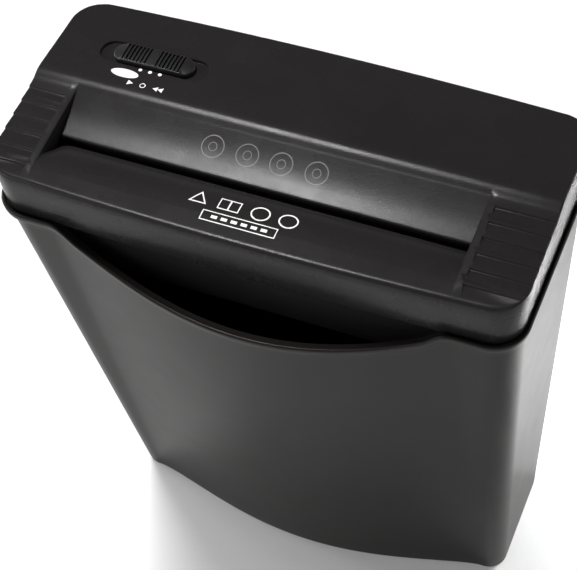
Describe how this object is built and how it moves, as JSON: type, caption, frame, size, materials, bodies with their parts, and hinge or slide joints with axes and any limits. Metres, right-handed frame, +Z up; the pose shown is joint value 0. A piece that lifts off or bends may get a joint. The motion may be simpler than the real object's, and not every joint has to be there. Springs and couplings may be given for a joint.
{
  "type": "paper shredder",
  "caption": "Desk-side strip-cut paper shredder: a cutting head with drive, throat and mode switch on a tapered bin with a scooped front.",
  "frame": {"origin": "on the floor, under the middle of the head", "axes": "+X to the right seen from the front, +Y to the back, +Z up"},
  "size_m": [0.2816, 0.1462, 0.3398],
  "materials": {
    "cover_plastic": "near-black moulded ABS with a fine matt texture",
    "bin_plastic": "near-black moulded polypropylene, satin",
    "knob_plastic": "black moulded plastic, fine matt",
    "inner_plastic": "black moulded nylon",
    "gear_plastic": "natural acetal, satin",
    "plate_steel": "zinc-plated pressed steel",
    "cutter_steel": "hardened steel, oiled",
    "bush_bronze": "sintered bronze",
    "coil_copper": "varnished copper wire",
    "core_steel": "laminated electrical steel",
    "board_fibre": "glass-epoxy board with parts",
    "lead_pvc": "PVC insulation"
  },
  "bodies": {
    "bin_body": {"bin": "bin_plastic"},
    "head_body": {"head_cover": "cover_plastic", "head_base": "inner_plastic", "cord_inlet_bush": "inner_plastic", "left_side_plate": "plate_steel", "right_side_plate": "plate_steel", "gear_cover_plate": "plate_steel", "rear_left_bush": "bush_bronze", "rear_right_bush": "bush_bronze", "front_left_bush": "bush_bronze", "front_right_bush": "bush_bronze", "slow_gear_pin": "plate_steel", "fast_gear_pin": "plate_steel", "front_tie_rod": "plate_steel", "rear_tie_rod": "plate_steel", "front_paper_guide": "plate_steel", "rear_paper_guide": "plate_steel", "front_stripper_comb": "inner_plastic", "rear_stripper_comb": "inner_plastic", "stator_core": "core_steel", "upper_field_coil": "coil_copper", "lower_field_coil": "coil_copper", "pinion_end_bracket": "plate_steel", "fan_end_bracket": "plate_steel", "front_brush_holder": "bush_bronze", "rear_brush_holder": "bush_bronze", "mode_switch_body": "inner_plastic", "start_lever_bracket": "plate_steel", "start_lever_pin": "plate_steel", "paper_switch": "inner_plastic", "interlock_switch": "inner_plastic", "control_board": "board_fibre", "thermal_cutout": "inner_plastic", "motor_lead": "lead_pvc", "switch_lead": "lead_pvc", "cover_screw_1": "plate_steel", "cover_screw_2": "plate_steel", "cover_screw_3": "plate_steel", "cover_screw_4": "plate_steel"},
    "rear_cutter_body": {"rear_cutter": "cutter_steel", "rear_sync_gear": "plate_steel", "final_gear": "plate_steel"},
    "front_cutter_body": {"front_cutter": "cutter_steel", "front_sync_gear": "plate_steel"},
    "slow_idler_body": {"slow_idler_gear": "gear_plastic"},
    "fast_idler_body": {"fast_idler_gear": "gear_plastic"},
    "rotor_body": {"motor_rotor": "core_steel", "motor_pinion": "plate_steel", "motor_fan": "inner_plastic"},
    "mode_knob_body": {"mode_switch_knob": "knob_plastic"},
    "start_lever_body": {"start_lever": "inner_plastic"},
    "interlock_body": {"interlock_plunger": "knob_plastic"}
  },
  "joints": [
    {"name": "head_lift", "type": "slide", "parent": "bin_body", "child": "head_body", "axis": [0, 0, 1], "range_m": [0, 0.12]},
    {"name": "rear_cutter_spin", "type": "hinge", "parent": "head_body", "child": "rear_cutter_body", "pos_m": [0.11, -0.0157, 0.287], "axis": [1, 0, 0], "continuous": true},
    {"name": "front_cutter_spin", "type": "hinge", "parent": "head_body", "child": "front_cutter_body", "pos_m": [0.11, -0.0403, 0.287], "axis": [1, 0, 0], "continuous": true},
    {"name": "slow_idler_spin", "type": "hinge", "parent": "head_body", "child": "slow_idler_body", "pos_m": [0.11, 0.00991, 0.29152], "axis": [1, 0, 0], "continuous": true},
    {"name": "fast_idler_spin", "type": "hinge", "parent": "head_body", "child": "fast_idler_body", "pos_m": [0.11, 0.03354, 0.28735], "axis": [1, 0, 0], "continuous": true},
    {"name": "rotor_spin", "type": "hinge", "parent": "head_body", "child": "rotor_body", "pos_m": [0.11, 0.03007, 0.30704], "axis": [1, 0, 0], "continuous": true},
    {"name": "mode_switch_slide", "type": "slide", "parent": "head_body", "child": "mode_knob_body", "axis": [1, 0, 0], "range_m": [-0.0055, 0.0055]},
    {"name": "start_lever_tip", "type": "hinge", "parent": "head_body", "child": "start_lever_body", "pos_m": [-0.0047, -0.0204, 0.3185], "axis": [1, 0, 0], "range_deg": [0, 20], "stiffness_Nm_per_rad": 0.002, "springref_deg": -5.73},
    {"name": "interlock_press", "type": "slide", "parent": "head_body", "child": "interlock_body", "axis": [0, 0, 1], "range_m": [0, 0.003], "stiffness_N_per_m": 60, "springref_m": -0.002}
  ],
  "couplings": [
    {"joint": "front_cutter_spin", "follows": "rear_cutter_spin", "ratio": -1},
    {"joint": "slow_idler_spin", "follows": "rear_cutter_spin", "ratio": -3.3333},
    {"joint": "fast_idler_spin", "follows": "rear_cutter_spin", "ratio": 10},
    {"joint": "rotor_spin", "follows": "rear_cutter_spin", "ratio": -40}
  ]
}
